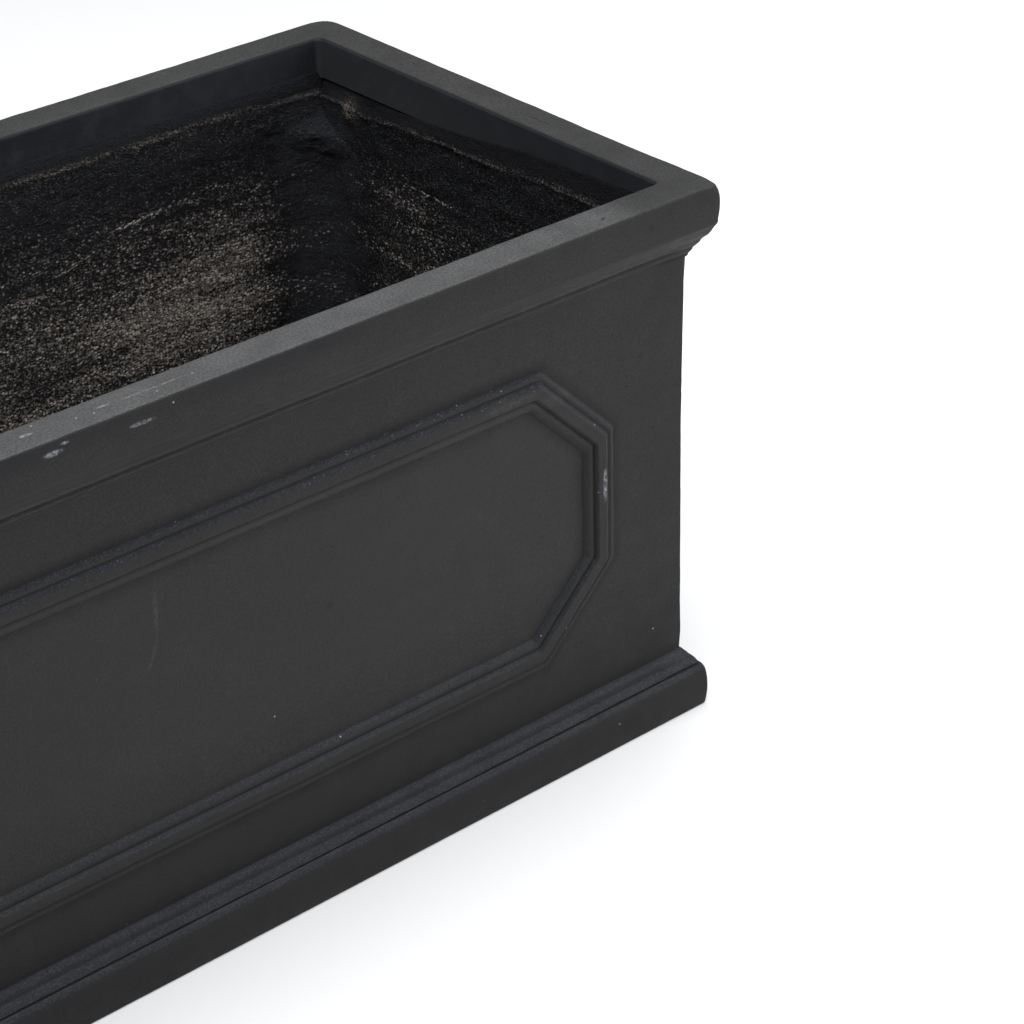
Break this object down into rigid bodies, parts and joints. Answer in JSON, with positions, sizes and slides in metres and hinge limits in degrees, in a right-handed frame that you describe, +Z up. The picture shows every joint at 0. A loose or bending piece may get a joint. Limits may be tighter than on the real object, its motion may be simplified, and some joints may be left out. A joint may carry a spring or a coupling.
{
  "type": "trough planter",
  "caption": "Rectangular cement trough planter with a moulded cornice rim, raised cut-corner panel frames, a stepped plinth, a rough inside and rubber-plugged drains.",
  "frame": {"origin": "on the floor, under the middle of the planter", "axes": "+X along the length, +Y from front to back, +Z up"},
  "size_m": [1, 0.417, 0.4],
  "materials": {
    "face_cement": "charcoal wash, matt with a faint sheen",
    "rough_backing": "trowelled by hand, rough and dusty",
    "glass_mat": "chopped glass strands wetted out with cement",
    "sleeve_plastic": "plain extruded tube",
    "plug_rubber": "moulded, matt"
  },
  "bodies": {
    "planter": {"cast_shell": "face_cement", "base_slab": "face_cement", "front_mat": "glass_mat", "front_backing": "rough_backing", "back_mat": "glass_mat", "back_backing": "rough_backing", "left_mat": "glass_mat", "left_backing": "rough_backing", "right_mat": "glass_mat", "right_backing": "rough_backing", "base_mat": "glass_mat", "floor_backing": "rough_backing", "corner_fillet_front_left": "rough_backing", "corner_fillet_front_right": "rough_backing", "corner_fillet_back_left": "rough_backing", "corner_fillet_back_right": "rough_backing", "drain_sleeve_left": "sleeve_plastic", "drain_sleeve_middle": "sleeve_plastic", "drain_sleeve_right": "sleeve_plastic"},
    "left_plug": {"drain_plug_left": "plug_rubber"},
    "middle_plug": {"drain_plug_middle": "plug_rubber"},
    "right_plug": {"drain_plug_right": "plug_rubber"}
  },
  "joints": [
    {"name": "left_plug_pull", "type": "slide", "parent": "planter", "child": "left_plug", "axis": [0, 0, 1], "range_m": [0, 0.385]},
    {"name": "middle_plug_pull", "type": "slide", "parent": "planter", "child": "middle_plug", "axis": [0, 0, 1], "range_m": [0, 0.385]},
    {"name": "right_plug_pull", "type": "slide", "parent": "planter", "child": "right_plug", "axis": [0, 0, 1], "range_m": [0, 0.385]}
  ]
}
